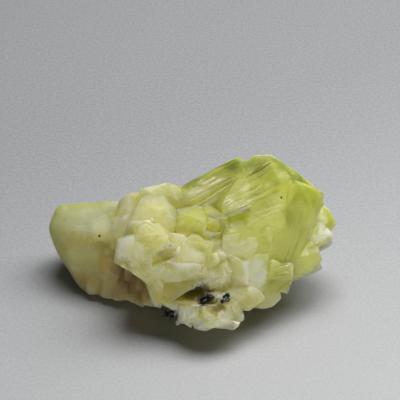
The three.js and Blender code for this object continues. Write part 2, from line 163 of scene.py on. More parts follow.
class Tree:
    """A node tree under construction."""

    def __init__(self, tree):
        self.tree = tree

    def add(self, kind, settings=None, inputs=None, output=0):
        """Adds a node: its settings, then its inputs' values or links. Gives one of its outputs."""
        node = self.tree.nodes.new(kind)
        for name, value in (settings or {}).items():
            setattr(node, name, value)
        for key, value in (inputs or {}).items():
            feed(node.inputs[key], value)
        return Socket(node.outputs[output]) if len(node.outputs) else node

    def vector(self, operation, a, b=None, scale=None, output=0):
        inputs = {0: a}
        if b is not None:
            inputs[1] = b
        if scale is not None:
            inputs["Scale"] = scale
        return self.add("ShaderNodeVectorMath", {"operation": operation}, inputs, output)

    def ramp(self, value, low, high):
        """0 where value is at low, 1 at high, and smooth between. low may be above high."""
        return self.add(
            "ShaderNodeMapRange",
            {"interpolation_type": "SMOOTHSTEP"},
            {"Value": value, "From Min": low, "From Max": high},
        )

    def mix(self, share, a, b):
        """Colour a where share is 0, b where it is 1."""
        return self.add("ShaderNodeMix", {"data_type": "RGBA"}, {0: share, 6: a, 7: b}, 2)

    def noise(self, place, scale, detail=2.0, rough=0.5, distort=0.0, output=0):
        inputs = {
            "Vector": place,
            "Scale": scale,
            "Detail": detail,
            "Roughness": rough,
            "Distortion": distort,
        }
        return self.add("ShaderNodeTexNoise", None, inputs, output)

    def bump(self, strength, rise, height):
        """Fine relief, with its rise in millimetres."""
        inputs = {"Strength": strength, "Distance": rise * MM, "Height": height}
        return self.add("ShaderNodeBump", None, inputs)

    def place(self):
        """The place on the piece, in millimetres."""
        return self.vector("SCALE", self.add("ShaderNodeTexCoord", output=3), scale=1 / MM)

    def axes(self, place):
        """The x, y and z of a place."""
        node = self.add("ShaderNodeSeparateXYZ", None, {0: place}).output.node
        return [Socket(output) for output in node.outputs]

    def near(self, place, centre, radii, soft=0.4):
        """1 inside an ellipsoid, 0 outside it, with a soft edge."""
        offset = self.vector("SUBTRACT", place, centre)
        reach = self.vector("DIVIDE", offset, radii)
        distance = self.vector("LENGTH", reach, output=1)
        return self.ramp(distance, 1 + soft, 1 - soft)

    def socket(self, name, kind, value=None, into=True):
        """A named input or output of a Geometry Nodes tree."""
        way = "INPUT" if into else "OUTPUT"
        item = self.tree.interface.new_socket(name, in_out=way, socket_type=kind)
        if value is not None:
            item.default_value = value
        return item.identifier


def new_material(name):
    """An empty material, and its node tree to build."""
    material = bpy.data.materials.new(name)
    material.use_nodes = True
    material.node_tree.nodes.clear()
    return material, Tree(material.node_tree)


# ---------------------------------------------------------------- materials

MILK = (0.58, 0.55, 0.22, 1)
WHITE = (0.78, 0.75, 0.46, 1)
SNOW = (0.94, 0.91, 0.66, 1)
LIME = (0.47, 0.49, 0.08, 1)
FRESH = (0.64, 0.66, 0.17, 1)
DEEP = (0.31, 0.35, 0.04, 1)
DARK = (0.2, 0.24, 0.02, 1)
OLIVE = (0.39, 0.335, 0.085, 1)
PALE = (0.45, 0.46, 0.27, 1)
HONEY = (0.6, 0.49, 0.1, 1)
TAN = (0.46, 0.33, 0.05, 1)
UMBER = (0.36, 0.25, 0.09, 1)
BROWN = (0.19, 0.1, 0.012, 1)
MINT = (0.64, 0.71, 0.34, 1)
# Darkest brown: for dark specks, the darkest part of the back blade's top edge, and painted shade in the
# wedge under the shelf
STAIN_AND_SHADE = (0.07, 0.05, 0.02, 1)
CLEAR = (0.92, 0.91, 0.6, 1)
CLEAR_GREEN = (0.78, 0.85, 0.22, 1)
INSIDE = (0.88, 0.92, 0.3, 1)
BLACK = (0.006, 0.005, 0.005, 1)
BLOOM = (0.05, 0.035, 0.02, 1)
FLOOR_NEAR = (0.56, 0.565, 0.57, 1)
FLOOR_FAR = (0.285, 0.289, 0.303, 1)
FLOOR_TOOTH = (0.9, 0.9, 0.9, 1)

# Patches of another colour, some of them painted shade as their notes say: centre and reach in
# millimetres in the frame, colour, and share of it.
PATCHES = (
    ((3.4, 6, 17.8), (3.6, 1.6, 1.6), OLIVE, 0.3),  # back blade: face
    ((0.6, 6.8, 16.9), (2.4, 1.2, 1.2), DARK, 0.7),  # back blade: far end of its top edge
    ((4.8, 8.4, 18.7), (3.4, 1.2, 1.4), DARK, 0.9),  # back blade: top edge
    ((4.6, 8.3, 18.8), (2.8, 1.2, 1), STAIN_AND_SHADE, 0.3),  # back blade: top edge, darkest
    ((3.4, 6.8, 18), (1.8, 1, 0.8), OLIVE, 0.4),  # back blade: below its top edge
    ((1.2, 4.1, 16.2), (2.4, 1.6, 1.4), WHITE, 0.5),  # back blade: root
    ((12.3, 5, 19.4), (2.4, 2, 1.2), DEEP, 0.65),  # fan: below its crest
    ((13.8, 7.2, 19.6), (1.6, 1.6, 1), DARK, 0.6),  # fan: right of its crest
    ((3.6, 6.9, 18.4), (3, 1, 0.9), DEEP, 0.5),  # back blade: upper face
    ((13.7, 3, 17.1), (1.2, 2.6, 2.4), FRESH, 0.7),  # fan: beside the steep crystal
    ((7.6, 4.1, 17.9), (1.2, 0.8, 0.8), LIME, 0.8),  # fan: above the comb
    ((17, 3.4, 17.4), (1.8, 1.8, 2), DEEP, 0.8),  # steep crystal: top
    ((17.2, 6.2, 16.9), (2.4, 1.6, 1.8), DARK, 0.75),  # steep crystal: back of its top
    ((17, 1.8, 14.5), (0.9, 2, 2.2), FRESH, 0.5),  # steep crystal: right side
    ((15.7, 1.3, 15), (1, 1.6, 2.2), FRESH, 0.4),  # steep crystal: middle
    ((13, -3.6, 7.6), (2.6, 3, 2.2), DEEP, 0.3),  # steep crystal: foot
    ((12.8, -2, 11.4), (1.6, 1.6, 2.2), FRESH, 0.8),  # steep crystal: left side, low down
    ((15, -0.6, 12), (1.2, 2, 2.4), FRESH, 0.5),  # steep crystal: front, low down
    ((13.8, -0.5, 13.4), (1.2, 1.4, 1.6), FRESH, 0.5),  # steep crystal: left side, half way up
    ((7, 0.4, 15.2), (2, 1, 0.8), FRESH, 0.6),  # recess under the comb
    ((7.1, -0.9, 14.6), (2, 0.9, 0.9), LIME, 0.6),  # recess: lower edge
    ((3.3, 0, 13.9), (1.5, 1.3, 1.3), SNOW, 0.7),  # square pit
    ((6, -3.4, 12.2), (2.8, 1.6, 1.6), SNOW, 0.5),  # blocks beside the pit
    ((-0.6, -5.2, 12.2), (2.2, 2, 2.2), SNOW, 0.85),  # middle: white crystals
    ((-1.6, -3.6, 13.3), (1.8, 1.6, 1.2), WHITE, 0.8),  # middle: top of the white crystals
    ((3.4, -4.8, 12.2), (1.8, 1.6, 2), LIME, 0.35),  # middle: right of the white crystals
    ((1.4, -4.3, 14.4), (1.6, 1.2, 1), OLIVE, 0.5),  # middle: between the white crystals and the pit
    ((3.2, -6.9, 9.4), (2.4, 2.2, 1.8), SNOW, 0.55),  # sugary patch
    ((-8.6, -4.4, 13.2), (2.2, 2.2, 2.2), SNOW, 0.65),  # middle: rounded crystal at its left
    ((-9.6, -5.4, 11.2), (2.6, 1.6, 1), UMBER, 0.4),  # middle: lower edge of the rounded crystal
    ((-6, 0.4, 15.9), (2.6, 2.2, 1.6), WHITE, 0.25),  # middle: top
    ((-4.6, 4.6, 16.7), (3.6, 2.6, 1.4), PALE, 0.75),  # middle: back of its top
    ((-2.2, 1.4, 15.6), (2, 2, 1.6), PALE, 0.6),  # middle: where it meets the fan
    ((-1.6, 3.4, 16), (1.6, 1.6, 1.2), OLIVE, 0.4),  # middle: where it meets the back blade
    ((-6.4, -4.4, 16), (2.4, 1.8, 1.2), OLIVE, 0.35),  # middle: brow
    ((-5.4, -5, 12.6), (1.2, 1.2, 1.2), SNOW, 0.45),  # middle: below the brow
    ((-3.8, -4.6, 12.9), (1.3, 1.2, 1), OLIVE, 0.4),  # middle: hollow under the brow
    ((-3.8, -6.4, 10.4), (2.4, 1.6, 1.6), WHITE, 0.5),  # middle: front, under the hollow
    ((9.4, -5.2, 9.4), (1.6, 2.6, 3), SNOW, 0.85),  # tall white crystal
    ((9.2, -7.2, 6.8), (3.2, 1.8, 1.3), OLIVE, 0.25),  # tall crystal: foot
    ((6.6, -5.6, 9.2), (1.6, 1.8, 1.8), WHITE, 0.3),  # tall crystal: left of it
    ((7.4, -9, 6), (2.4, 1.8, 1.4), OLIVE, 0.4),  # lip: right end
    ((6.2, -11.2, 4.4), (1.6, 1.2, 1.2), BROWN, 0.5),  # lip: painted shadow under its right end
    ((3.1, -9.8, 6.9), (2.1, 1.4, 0.9), DARK, 0.9),  # lip: stain in front of the right grain
    ((3.2, -9.7, 6.8), (1.8, 1.2, 0.8), BROWN, 0.6),  # lip: middle of the stain
    ((2.7, -10.7, 6.3), (1.7, 1.1, 0.8), OLIVE, 0.5),  # lip: below the stain
    ((5.3, -6.4, 7.6), (1.6, 1.2, 1), OLIVE, 0.3),  # sugary patch: over the right grain
    ((-2, -8, 7.4), (3.6, 2, 1.4), HONEY, 0.75),  # shelf over the wedge
    ((-6.6, -7.2, 7.8), (1.6, 1.8, 1.8), UMBER, 0.3),  # shelf: left end
    ((1.4, -7, 6.5), (2.8, 2.4, 1.1), STAIN_AND_SHADE, 0.7),  # wedge: painted shade in the recess under the shelf
    ((-8.6, -2.8, 4.8), (3.8, 2.6, 3.4), BROWN, 0.9),  # gap under the left end of the middle: painted shade, brown
    ((-12.1, 0.6, 8.2), (2.2, 2.4, 1.2), BROWN, 0.2),  # left crystal: beside the gap, a little painted shade
    ((-12.3, -0.6, 6.8), (2, 1.8, 1.6), TAN, 0.7),  # left crystal: front, beside the gap
    ((-10.6, -1, 6.6), (1.3, 1.6, 1.6), BROWN, 0.5),  # left crystal: wall of the gap, painted shade
    ((-14.8, 0, 3.4), (3.4, 2, 1.2), TAN, 0.6),  # left crystal: foot
    ((-12.6, 2, 9.8), (2.8, 1.8, 1.2), MILK, 0.85),  # left crystal: above the gap
    ((-16, 2, 7.6), (2.2, 1.8, 1.6), PALE, 0.4),  # left crystal: front
    ((-16.8, 1.4, 6), (3.4, 2.4, 1.7), MILK, 0.4),  # left crystal: front, low down
    ((-10.2, 2.6, 12.6), (2.2, 3.8, 3.2), WHITE, 0.95),  # left crystal: where it meets the middle
    ((-19.8, 4.4, 8.8), (1.4, 2, 2), PALE, 0.5),  # left crystal: left edge
    ((-19.2, 7.8, 10.6), (2.2, 2.4, 1.4), DEEP, 0.4),  # left crystal: tip
    ((-17, 7.9, 10.9), (3, 1.6, 1.2), PALE, 0.6),  # left crystal: back of its top
    ((-17.6, 8.8, 10.8), (3.4, 1, 1), DEEP, 0.35),  # left crystal: rim at its back
    ((-12.8, 4.7, 10.7), (2.2, 1.6, 1), WHITE, 0.4),  # left crystal: middle of its top
    ((19, 4.2, 12.4), (1.3, 1.6, 1.3), SNOW, 0.35),  # pale crystal: face
    ((20.9, 5.2, 12), (1.4, 1.8, 1.8), DEEP, 0.9),  # pale crystal: far end
    ((19.1, 1.9, 11), (2.2, 1.6, 0.9), SNOW, 0.4),  # pale crystal: front
    ((19.2, 1.2, 9.2), (1.8, 1.6, 0.9), WHITE, 0.5),  # pale crystal: under it
    ((0, 0, 0), (26, 16, 2.2), UMBER, 0.6),  # underside: painted darker, as shade under the cluster
)

# The crest of the fan, dull and dark green: centre and reach in millimetres.
CREST = (
    ((11, 7.9, 19.9), (5, 2.8, 1.7)),  # highest part
    ((15.4, 6.4, 18.4), (2.6, 1.8, 1.4)),  # right end
    ((6.4, 8.3, 19), (2.4, 1.8, 1.3)),  # where the back blade begins
    ((4, 7.6, 18.4), (3, 1.6, 1.1)),  # top edge of the back blade
)

# Where striations catch the light: centre and reach in millimetres, and share of white.
SHEENS = (
    ((6.8, 1.8, 16.9), (2, 1.3, 0.9), 0.8),  # comb of the fan
    ((9.4, 3.6, 17.9), (2.2, 0.9, 0.8), 0.4),  # above the comb
    ((12.7, 5.2, 19.2), (1.8, 0.9, 0.7), 0.12),  # below the crest
    ((3, 5.9, 17.6), (2.2, 0.7, 0.6), 0.8),  # back blade
    ((0.6, 4.6, 16.6), (1.4, 0.6, 0.6), 0.7),  # root of the back blade
    ((11.6, 1.7, 16.6), (0.9, 0.7, 0.6), 0.8),  # beside the steep crystal
    ((8.4, -3.1, 12.9), (1.3, 0.7, 0.5), 0.7),  # blocks beside the pit
    ((18.8, 1.9, 11), (2.4, 2.4, 0.5), 0.9),  # streak on the pale crystal
)

# Bright edges of the square pit: centre and reach in millimetres.
LIT_EDGES = (
    ((2.1, -1.1, 14.3), (0.6, 1, 1)),  # left edge
    ((3.2, -1.6, 13.8), (1.5, 0.5, 0.3)),  # lower edge
)


def drawn_out(tree, place, lay, fine, long):
    """A place for noise to be read at, so that it runs in streaks along a crystal."""
    along = tree.vector("DOT_PRODUCT", place, tuple(lay), output=1)
    shift = tree.vector("SCALE", tuple(lay), scale=along * (long - fine))
    return tree.vector("ADD", tree.vector("SCALE", place, scale=fine), shift)


def small_faces(tree, place, fine):
    """Flat faces tilted at random, as on a broken crystal, with a given number to the millimetre."""
    kind = "ShaderNodeTexVoronoi"
    inputs = {"Vector": place, "Scale": fine, "Randomness": 1.0}
    tilt = tree.vector("SUBTRACT", tree.add(kind, None, inputs, 1), (0.5, 0.5, 0.5))
    offset = tree.vector("SUBTRACT", place, tree.add(kind, None, inputs, 2))
    return tree.vector("DOT_PRODUCT", offset, tilt, output=1) * fine


def milky_stone(tree, colour, bump, roughness, depth):
    """Brazilianite that light enters and wanders in, as deep as given."""
    return tree.add(
        "ShaderNodeBsdfPrincipled",
        None,
        {
            "Base Color": colour,
            "Roughness": roughness,
            "IOR": BRAZILIANITE_IOR,
            "Specular IOR Level": 0.28,
            "Subsurface Weight": 1.0,
            "Subsurface Radius": (1.0, 0.95, 0.4),
            "Subsurface Scale": depth,
            "Normal": bump,
        },
    )


def crystal_material():
    """Brazilianite: gemmy lime green in the fan, milky yellow-white in the middle, olive at the left."""
    material, tree = new_material("brazilianite")
    place = tree.place()

    # A place moved about a little, so that parts and colours meet unevenly.
    cloud = tree.noise(place, 0.3, 3.0, 0.6, output=1)
    drift = tree.vector("SCALE", tree.vector("SUBTRACT", cloud, (0.5, 0.5, 0.5)), scale=4.0)
    drifted = tree.vector("ADD", place, drift)
    x, y, z = tree.axes(drifted)
    edge = tree.add("ShaderNodeAttribute", {"attribute_name": "stands_out"}, output=2)

    # Parts of the cluster, each 1 inside and 0 outside.
    fan = tree.ramp(x - (14.6 - z) * 1.3 + y * 0.25, -2.5, 1.5)
    fan_foot = tree.ramp(z + y * 0.5, 18, 12)
    left = tree.ramp(x - tree.ramp(y, -3.5, -1) * 2.5, -10.5, -12.5)
    left_front = tree.ramp(z + y * 0.5 + (x + 14) * 0.25, 12.4, 9.6)
    left_foot = tree.ramp(z, 6.5, 2.5)
    left_back = tree.ramp(y, 8.4, 9.6) * tree.ramp(z, 8.5, 10.5)
    left_end = tree.ramp(x, -19.6, -21)
    left_rim = left * (left_back + left_end * 0.6).clamped()
    lip = tree.near(drifted, (2.5, -9, 4.6), (6.5, 4, 3.4), 0.3)
    sugar = tree.near(drifted, (3.2, -6.7, 9.4), (3.4, 2.6, 2.6), 0.3)
    right = tree.near(drifted, (19.9, 3.4, 12.4), (3.2, 3.6, 3.8), 0.3)
    from_steep_root = tree.vector("SUBTRACT", drifted, tuple(STEEP_ROOT))
    beside = tree.vector("CROSS_PRODUCT", from_steep_root, tuple(STEEP_LAY))
    steep = tree.ramp(tree.vector("LENGTH", beside, output=1), 4, 2.8) * fan
    steep_top = steep * tree.ramp(z, 11, 15)
    crest = sum(tree.near(place, centre, reach) for centre, reach in CREST).clamped()

    # Unevenness within the parts: lumps, clouds, striations and veils.
    lumpy = tree.ramp(tree.noise(place, 0.45, 4.0, 0.6), 0.35, 0.65)
    cloudy = tree.ramp(tree.noise(place, 0.2, 4.0, 0.6), 0.35, 0.65)
    striped = fan * (1 - steep * 0.85) * tree.ramp(tree.noise(place, 0.22, 2.0), 0.4, 0.65)
    fan_lines = tree.noise(drawn_out(tree, place, FAN_LAY, 2.2, 0.15), 1.0, 3.0, 0.6)
    steep_lines = tree.noise(drawn_out(tree, place, STEEP_LAY, 2.2, 0.15), 1.0, 3.0, 0.6)
    lines = fan_lines + (steep_lines - fan_lines) * steep
    veil = tree.noise(place, 0.35, 4.0, 0.65, 0.8)
    wisp = tree.ramp((veil - 0.5).absolute(), 0.03, 0.0)

    # Colour: each part first, then lumps, lines, veils, a painted highlight on edges and painted shade
    # in creases, then single places.
    body = tree.mix(fan, MILK, tree.mix(fan_foot, LIME, FRESH))
    leftish = tree.mix(left_front, PALE, OLIVE)
    leftish = tree.mix(left_foot * 0.8, leftish, UMBER)
    leftish = tree.mix(cloudy * 0.4, leftish, PALE)
    leftish = tree.mix(lumpy * (1 - cloudy) * 0.3, leftish, OLIVE)
    leftish = tree.mix(left_rim * 0.7, leftish, DEEP)
    body = tree.mix(left, body, leftish)
    body = tree.mix(lip * 0.8, body, WHITE)
    body = tree.mix(right * 0.85, body, MINT)
    body = tree.mix(steep_top * 0.9, body, DEEP)
    body = tree.mix(steep * 0.2, body, DEEP)
    body = tree.mix(crest * 0.85, body, DARK)
    body = tree.mix((1 - fan) * (1 - left) * lumpy * 0.3, body, LIME)
    body = tree.mix(fan * (1 - lumpy) * 0.25, body, FRESH)
    body = tree.mix(striped * tree.ramp(lines, 0.55, 0.7) * 0.35, body, FRESH)
    body = tree.mix(striped * tree.ramp(lines, 0.45, 0.3) * 0.3, body, DEEP)
    body = tree.mix(wisp * (0.3 - fan * 0.15 - left * 0.18), body, WHITE)
    # Edges that stand out are whitened: partly their paler chipped stone, partly a painted highlight.
    edges = tree.ramp(edge, 0.015, 0.08)
    body = tree.mix(edges * (0.06 + lumpy * 0.2) * (1 - fan * 0.85), body, WHITE)
    # Gaps and creases are darkened olive: painted shade.
    gaps = tree.ramp(edge, -0.015, -0.08)
    body = tree.mix(gaps * (0.1 + lumpy * 0.3 + fan * 0.15), body, OLIVE)
    for centre, reach, colour, share in PATCHES:
        body = tree.mix(tree.near(drifted, centre, reach) * share, body, colour)
    shining = tree.ramp(lines, 0.46, 0.58)
    for centre, reach, share in SHEENS:
        body = tree.mix(tree.near(place, centre, reach) * shining * share, body, SNOW)
    for centre, reach in LIT_EDGES:
        body = tree.mix(tree.near(place, centre, reach) * 0.8, body, SNOW)
    for speck in SPECKS:
        body = tree.mix(tree.near(place, speck, (0.2, 0.2, 0.2), 0.3), body, STAIN_AND_SHADE)

    # Fine relief and shine.
    grain = tree.noise(place, 3.2, 3.0, 0.6)
    sparkle = tree.ramp(tree.noise(place, 1.4, 2.0, 0.6), 0.58, 0.66)
    broken = (1 - fan) * (1 - left)
    coarse = small_faces(tree, place, 0.9) * broken * 0.8
    fine = small_faces(tree, place, 1.8) * (lip + sugar) * 0.8
    height = grain * 0.4 + lines * striped * 0.8 + (coarse + fine)
    bump = tree.bump(0.4, 0.12, height)

    # Milky stone with a share of clear stone, and duller stone on the crest.
    gem_share = (0.08 + fan * 0.1 + left * 0.08 - right * 0.1 - crest * 0.14).clamped()
    gem = tree.add(
        "ShaderNodeBsdfPrincipled",
        None,
        {
            "Base Color": tree.mix(fan, CLEAR, CLEAR_GREEN),
            "Roughness": 0.14 + grain * 0.16,
            "IOR": BRAZILIANITE_IOR,
            "Transmission Weight": 1.0,
            "Normal": bump,
        },
    )
    roughness = 0.46 + grain * 0.25 - sparkle * (1 - crest) * 0.38 + steep_top * 0.3 + crest * 0.5
    milk = milky_stone(tree, body, bump, roughness, MILKY_DEPTH)
    dull = milky_stone(tree, body, bump, 0.75, DULL_DEPTH)
    stone = tree.add("ShaderNodeMixShader", None, {0: gem_share, 1: milk, 2: gem})
    surface = tree.add("ShaderNodeMixShader", None, {0: crest * 0.8, 1: stone, 2: dull})
    inputs = {"Color": INSIDE, "Density": ABSORPTION}
    inside = tree.add("ShaderNodeVolumeAbsorption", None, inputs)
    tree.add("ShaderNodeOutputMaterial", None, {"Surface": surface, "Volume": inside})
    return material


def schorl_material():
    """Schorl: black, glassy, with a brownish bloom in its roughest places."""
    material, tree = new_material("schorl")
    place = tree.place()
    grain = tree.noise(place, 2.5, 3.0, 0.6)
    bump = tree.bump(0.5, 0.08, grain)
    bloom = tree.ramp(grain, 0.5, 0.75)
    surface = tree.add(
        "ShaderNodeBsdfPrincipled",
        None,
        {
            "Base Color": tree.mix(bloom, BLACK, BLOOM),
            "Roughness": 0.16 + bloom * 0.4,
            "IOR": SCHORL_IOR,
            "Normal": bump,
        },
    )
    tree.add("ShaderNodeOutputMaterial", None, {"Surface": surface})
    return material


def floor_material():
    """A pale plain floor with a fine tooth, darker away from the camera: a painted falloff of the lamps'
    light.
    """
    material, tree = new_material("pale_floor")
    place = tree.place()
    x, y, _ = tree.axes(place)
    tooth = tree.noise(place, 2.2, 2.0, 0.7)
    # Painted falloff of light: the floor darker away from the camera and to the left.
    away = tree.ramp(x * -0.35 + y, -70, 60)
    shade = tree.mix(away, FLOOR_NEAR, FLOOR_FAR)
    speckled = tree.mix(tree.ramp(tooth, 0.3, 0.7) * 0.12, shade, FLOOR_TOOTH)
    bump = tree.bump(0.2, 0.05, tooth)
    inputs = {"Base Color": speckled, "Roughness": 0.7, "Normal": bump}
    surface = tree.add("ShaderNodeBsdfPrincipled", None, inputs)
    tree.add("ShaderNodeOutputMaterial", None, {"Surface": surface})
    return material


# ---------------------------------------------------------------- meshes


def new_object(name, mesh):
    """A piece at the origin, linked to the scene."""
    piece = bpy.data.objects.new(name, mesh)
    bpy.context.scene.collection.objects.link(piece)
    return piece


def merged_copy(node, name):
    """A copy of a CAD node's mesh with its loose triangles joined, in a new object."""
    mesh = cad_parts[node].data.copy()
    mesh.name = name
    mesh.materials.clear()
    bm = bmesh.new()
    bm.from_mesh(mesh)
    bmesh.ops.remove_doubles(bm, verts=bm.verts, dist=0.001 * MM)
    bm.to_mesh(mesh)
    bm.free()
    return new_object(name, mesh)


def evaluated_mesh(piece):
    """The mesh of a piece with its modifiers applied."""
    depsgraph = bpy.context.evaluated_depsgraph_get()
    mesh = bpy.data.meshes.new_from_object(piece.evaluated_get(depsgraph), depsgraph=depsgraph)
    piece.modifiers.clear()
    return mesh


def united(piece, other):
    """Joins another closed piece to this one, and removes the other."""
    cut = piece.modifiers.new("join", "BOOLEAN")
    cut.operation = "UNION"
    cut.solver = "MANIFOLD"
    cut.object = other
    piece.data = evaluated_mesh(piece)
    bpy.data.objects.remove(other)


def broken_bit(name, centre, size, seed, corners=12):
    """A bit with flat faces: the hull of random points on an ellipsoid with the given half sizes."""
    chance = random.Random(seed)
    bm = bmesh.new()
    for i in range(corners):
        height = 1 - 2 * (i + chance.random()) / corners
        around = i * math.pi * (3 - math.sqrt(5)) + chance.random()
        ring = math.sqrt(1 - height * height)
        outward = Vector((ring * math.cos(around), ring * math.sin(around), height))
        bm.verts.new(Vector(centre) + outward * Vector(size))
    hull = bmesh.ops.convex_hull(bm, input=bm.verts)
    bmesh.ops.delete(bm, geom=hull["geom_interior"], context="VERTS")
    bmesh.ops.triangulate(bm, faces=bm.faces)
    bmesh.ops.recalc_face_normals(bm, faces=bm.faces)
    mesh = bpy.data.meshes.new(name)
    bm.to_mesh(mesh)
    bm.free()
    return new_object(name, mesh)


def scatter_tree():
    """Small crystals grown at random on a surface, inside an ellipsoid."""
    group = bpy.data.node_groups.new("scattered crystals", "GeometryNodeTree")
    tree = Tree(group)
    tree.socket("Geometry", "NodeSocketGeometry")
    names = {
        name: tree.socket(name, kind)
        for name, kind in (
            ("Crystal", "NodeSocketObject"),
            ("Material", "NodeSocketMaterial"),
            ("Centre", "NodeSocketVector"),
            ("Reach", "NodeSocketVector"),
            ("Spacing", "NodeSocketFloat"),
            ("Smallest", "NodeSocketFloat"),
            ("Largest", "NodeSocketFloat"),
            ("Seed", "NodeSocketInt"),
        )
    }
    tree.socket("Geometry", "NodeSocketGeometry", into=False)
    given = group.nodes.new("NodeGroupInput").outputs
    given = {socket.name: Socket(socket) for socket in given}
    place = tree.add("GeometryNodeInputPosition")
    offset = tree.vector("SUBTRACT", place, given["Centre"])
    reach = tree.vector("DIVIDE", offset, given["Reach"])
    inside = tree.vector("LENGTH", reach, output=1) < 1.0
    points = tree.add(
        "GeometryNodeDistributePointsOnFaces",
        {"distribute_method": "POISSON"},
        {
            "Mesh": given["Geometry"],
            "Selection": inside,
            "Distance Min": given["Spacing"],
            "Density Max": 4 / MM**2,
            "Seed": given["Seed"],
        },
    )
    source = tree.add("GeometryNodeObjectInfo", None, {"Object": given["Crystal"]}, output=4)
    turn = tree.add(
        "FunctionNodeRandomValue",
        {"data_type": "FLOAT_VECTOR"},
        {"Max": (6.28, 6.28, 6.28), "Seed": given["Seed"]},
    )
    size = tree.add(
        "FunctionNodeRandomValue",
        {"data_type": "FLOAT"},
        {2: given["Smallest"], 3: given["Largest"], "Seed": given["Seed"]},
        output=1,
    )
    grown = tree.add(
        "GeometryNodeInstanceOnPoints",
        None,
        {"Points": points, "Instance": source, "Rotation": turn, "Scale": size},
    )
    plain = tree.add("GeometryNodeRealizeInstances", None, {"Geometry": grown})
    inputs = {"Geometry": plain, "Material": given["Material"]}
    dressed = tree.add("GeometryNodeSetMaterial", None, inputs)
    tree.add("NodeGroupOutput", None, {"Geometry": dressed})
    return group, names


def cut_fine(points, triangles, longest):
    """Halves edges longer than is allowed at their place, the longest first, until none is left."""
    reach = 8 * MM  # only edges longer than this are halved now; it shrinks when there are none
    while True:
        edges = np.sort(triangles[:, [0, 1, 1, 2, 2, 0]].reshape(-1, 2), axis=1)
        pairs, which = np.unique(edges, axis=0, return_inverse=True)
        ends = points[pairs]
        length = np.linalg.norm(ends[:, 0] - ends[:, 1], axis=1)
        excess = length > longest(ends.mean(axis=1))
        long = excess & (length > reach)
        if not long.any():
            if not excess.any():
                return points, triangles
            reach *= 0.7
            continue
        middles = np.full(len(pairs), -1)
        middles[long] = len(points) + np.arange(long.sum())
        points = np.vstack([points, ends[long].mean(axis=1)])
        triangles = split(points, triangles, middles[which.reshape(-1, 3)])


def split(points, triangles, marks):
    """Splits triangles at the new points on their edges: marks holds one for each edge, or -1."""
    count = (marks >= 0).sum(axis=1)
    parts = [triangles[count == 0]]
    for turns in range(3):
        order = np.roll(np.arange(3), -turns)
        tri = triangles[:, order]
        mark = marks[:, order]
        one = (count == 1) & (mark[:, 0] >= 0)
        a, b, c, m = *tri[one].T, mark[one, 0]
        parts += [np.stack([a, m, c], 1), np.stack([m, b, c], 1)]
        two = (count == 2) & (mark[:, 2] < 0)
        a, b, c, m, n = *tri[two].T, mark[two, 0], mark[two, 1]
        parts.append(np.stack([m, b, n], 1))
        one_way = np.linalg.norm(points[a] - points[n], axis=1)
        other_way = np.linalg.norm(points[m] - points[c], axis=1)
        across = one_way < other_way
        parts += [np.stack([a, m, n], 1)[across], np.stack([a, n, c], 1)[across]]
        parts += [np.stack([a, m, c], 1)[~across], np.stack([m, n, c], 1)[~across]]
    three = count == 3
    a, b, c, m, n, o = *triangles[three].T, *marks[three].T
    parts += [np.stack(trio, 1) for trio in ((a, m, o), (m, b, n), (o, n, c), (m, n, o))]
    return np.vstack(parts)


def read_mesh(mesh):
    """The points and triangles of a mesh, as arrays."""
    bm = bmesh.new()
    bm.from_mesh(mesh)
    bmesh.ops.triangulate(bm, faces=bm.faces)
    bm.to_mesh(mesh)
    bm.free()
    points = np.empty(len(mesh.vertices) * 3)
    mesh.vertices.foreach_get("co", points)
    triangles = np.empty(len(mesh.polygons) * 3, dtype=np.int64)
    mesh.polygons.foreach_get("vertices", triangles)
    return points.reshape(-1, 3), triangles.reshape(-1, 3)


def write_mesh(name, points, triangles):
    """A new mesh from arrays of points and triangles."""
    mesh = bpy.data.meshes.new(name)
    mesh.from_pydata(points.tolist(), [], triangles.tolist())
    mesh.update()
    return mesh


def finished_mesh(name, points, triangles, edge, material):
    """A mesh that is shaded smooth except at edges sharper than the angle given."""
    mesh = write_mesh(name, points, triangles)
    mesh.polygons.foreach_set("use_smooth", [True] * len(mesh.polygons))
    mesh.set_sharp_from_angle(angle=math.radians(edge))
    mesh.materials.append(material)
    return mesh


def normals_of(mesh):
    """The normals at a mesh's points, as an array."""
    normals = np.empty(len(mesh.vertices) * 3)
    mesh.vertices.foreach_get("normal", normals)
    return normals.reshape(-1, 3)


def softened(points, triangles, share, rounds):
    """Draws each point towards the middle of its neighbours by its share, so that edges wear round."""
    edges = np.sort(triangles[:, [0, 1, 1, 2, 2, 0]].reshape(-1, 2), axis=1)
    a, b = np.unique(edges, axis=0).T
    count = np.bincount(np.concatenate([a, b]), minlength=len(points))[:, None]
    for _ in range(rounds):
        total = np.zeros_like(points)
        np.add.at(total, a, points[b])
        np.add.at(total, b, points[a])
        points = points + share[:, None] * (total / count - points)
    return points


def write_stands_out(mesh, triangles):
    """Notes how far each point stands out, in millimetres: above 0 on edges, below 0 in gaps."""
    points = np.array([tuple(v.co) for v in mesh.vertices])
    around = softened(points, triangles, np.full(len(points), 0.7), 4)
    out = ((points - around) * normals_of(mesh)).sum(axis=1) / MM
    mesh.attributes.new("stands_out", "FLOAT", "POINT").data.foreach_set("value", out)


def ramp(value, low, high):
    """0 at low, 1 at high, smooth between, for a number or an array."""
    share = np.clip((value - low) / (high - low), 0.0, 1.0)
    return share * share * (3 - 2 * share)


def furrows(point, root, lay, pitch, drift):
    """Noise drawn out along a direction, so that it reads as furrows along a crystal."""
    offset = point - root
    along = offset.dot(lay)
    across = offset - lay * along
    return noise.noise(across / pitch + lay * (along * drift))


def terraces(point, root, lay, pitch):
    """Long low steps along a crystal, as its faces grew."""
    level = 4 * furrows(point, root, lay, pitch, 0.04)
    return math.floor(level) + ramp(level - math.floor(level), 0.8, 1)


def in_left_crystal(points):
    """1 on the left crystal, 0 off it, for points in millimetres."""
    x, y, _ = points.T
    return ramp(2.5 * ramp(y, -3.5, -1) - x, 10.5, 12.5)


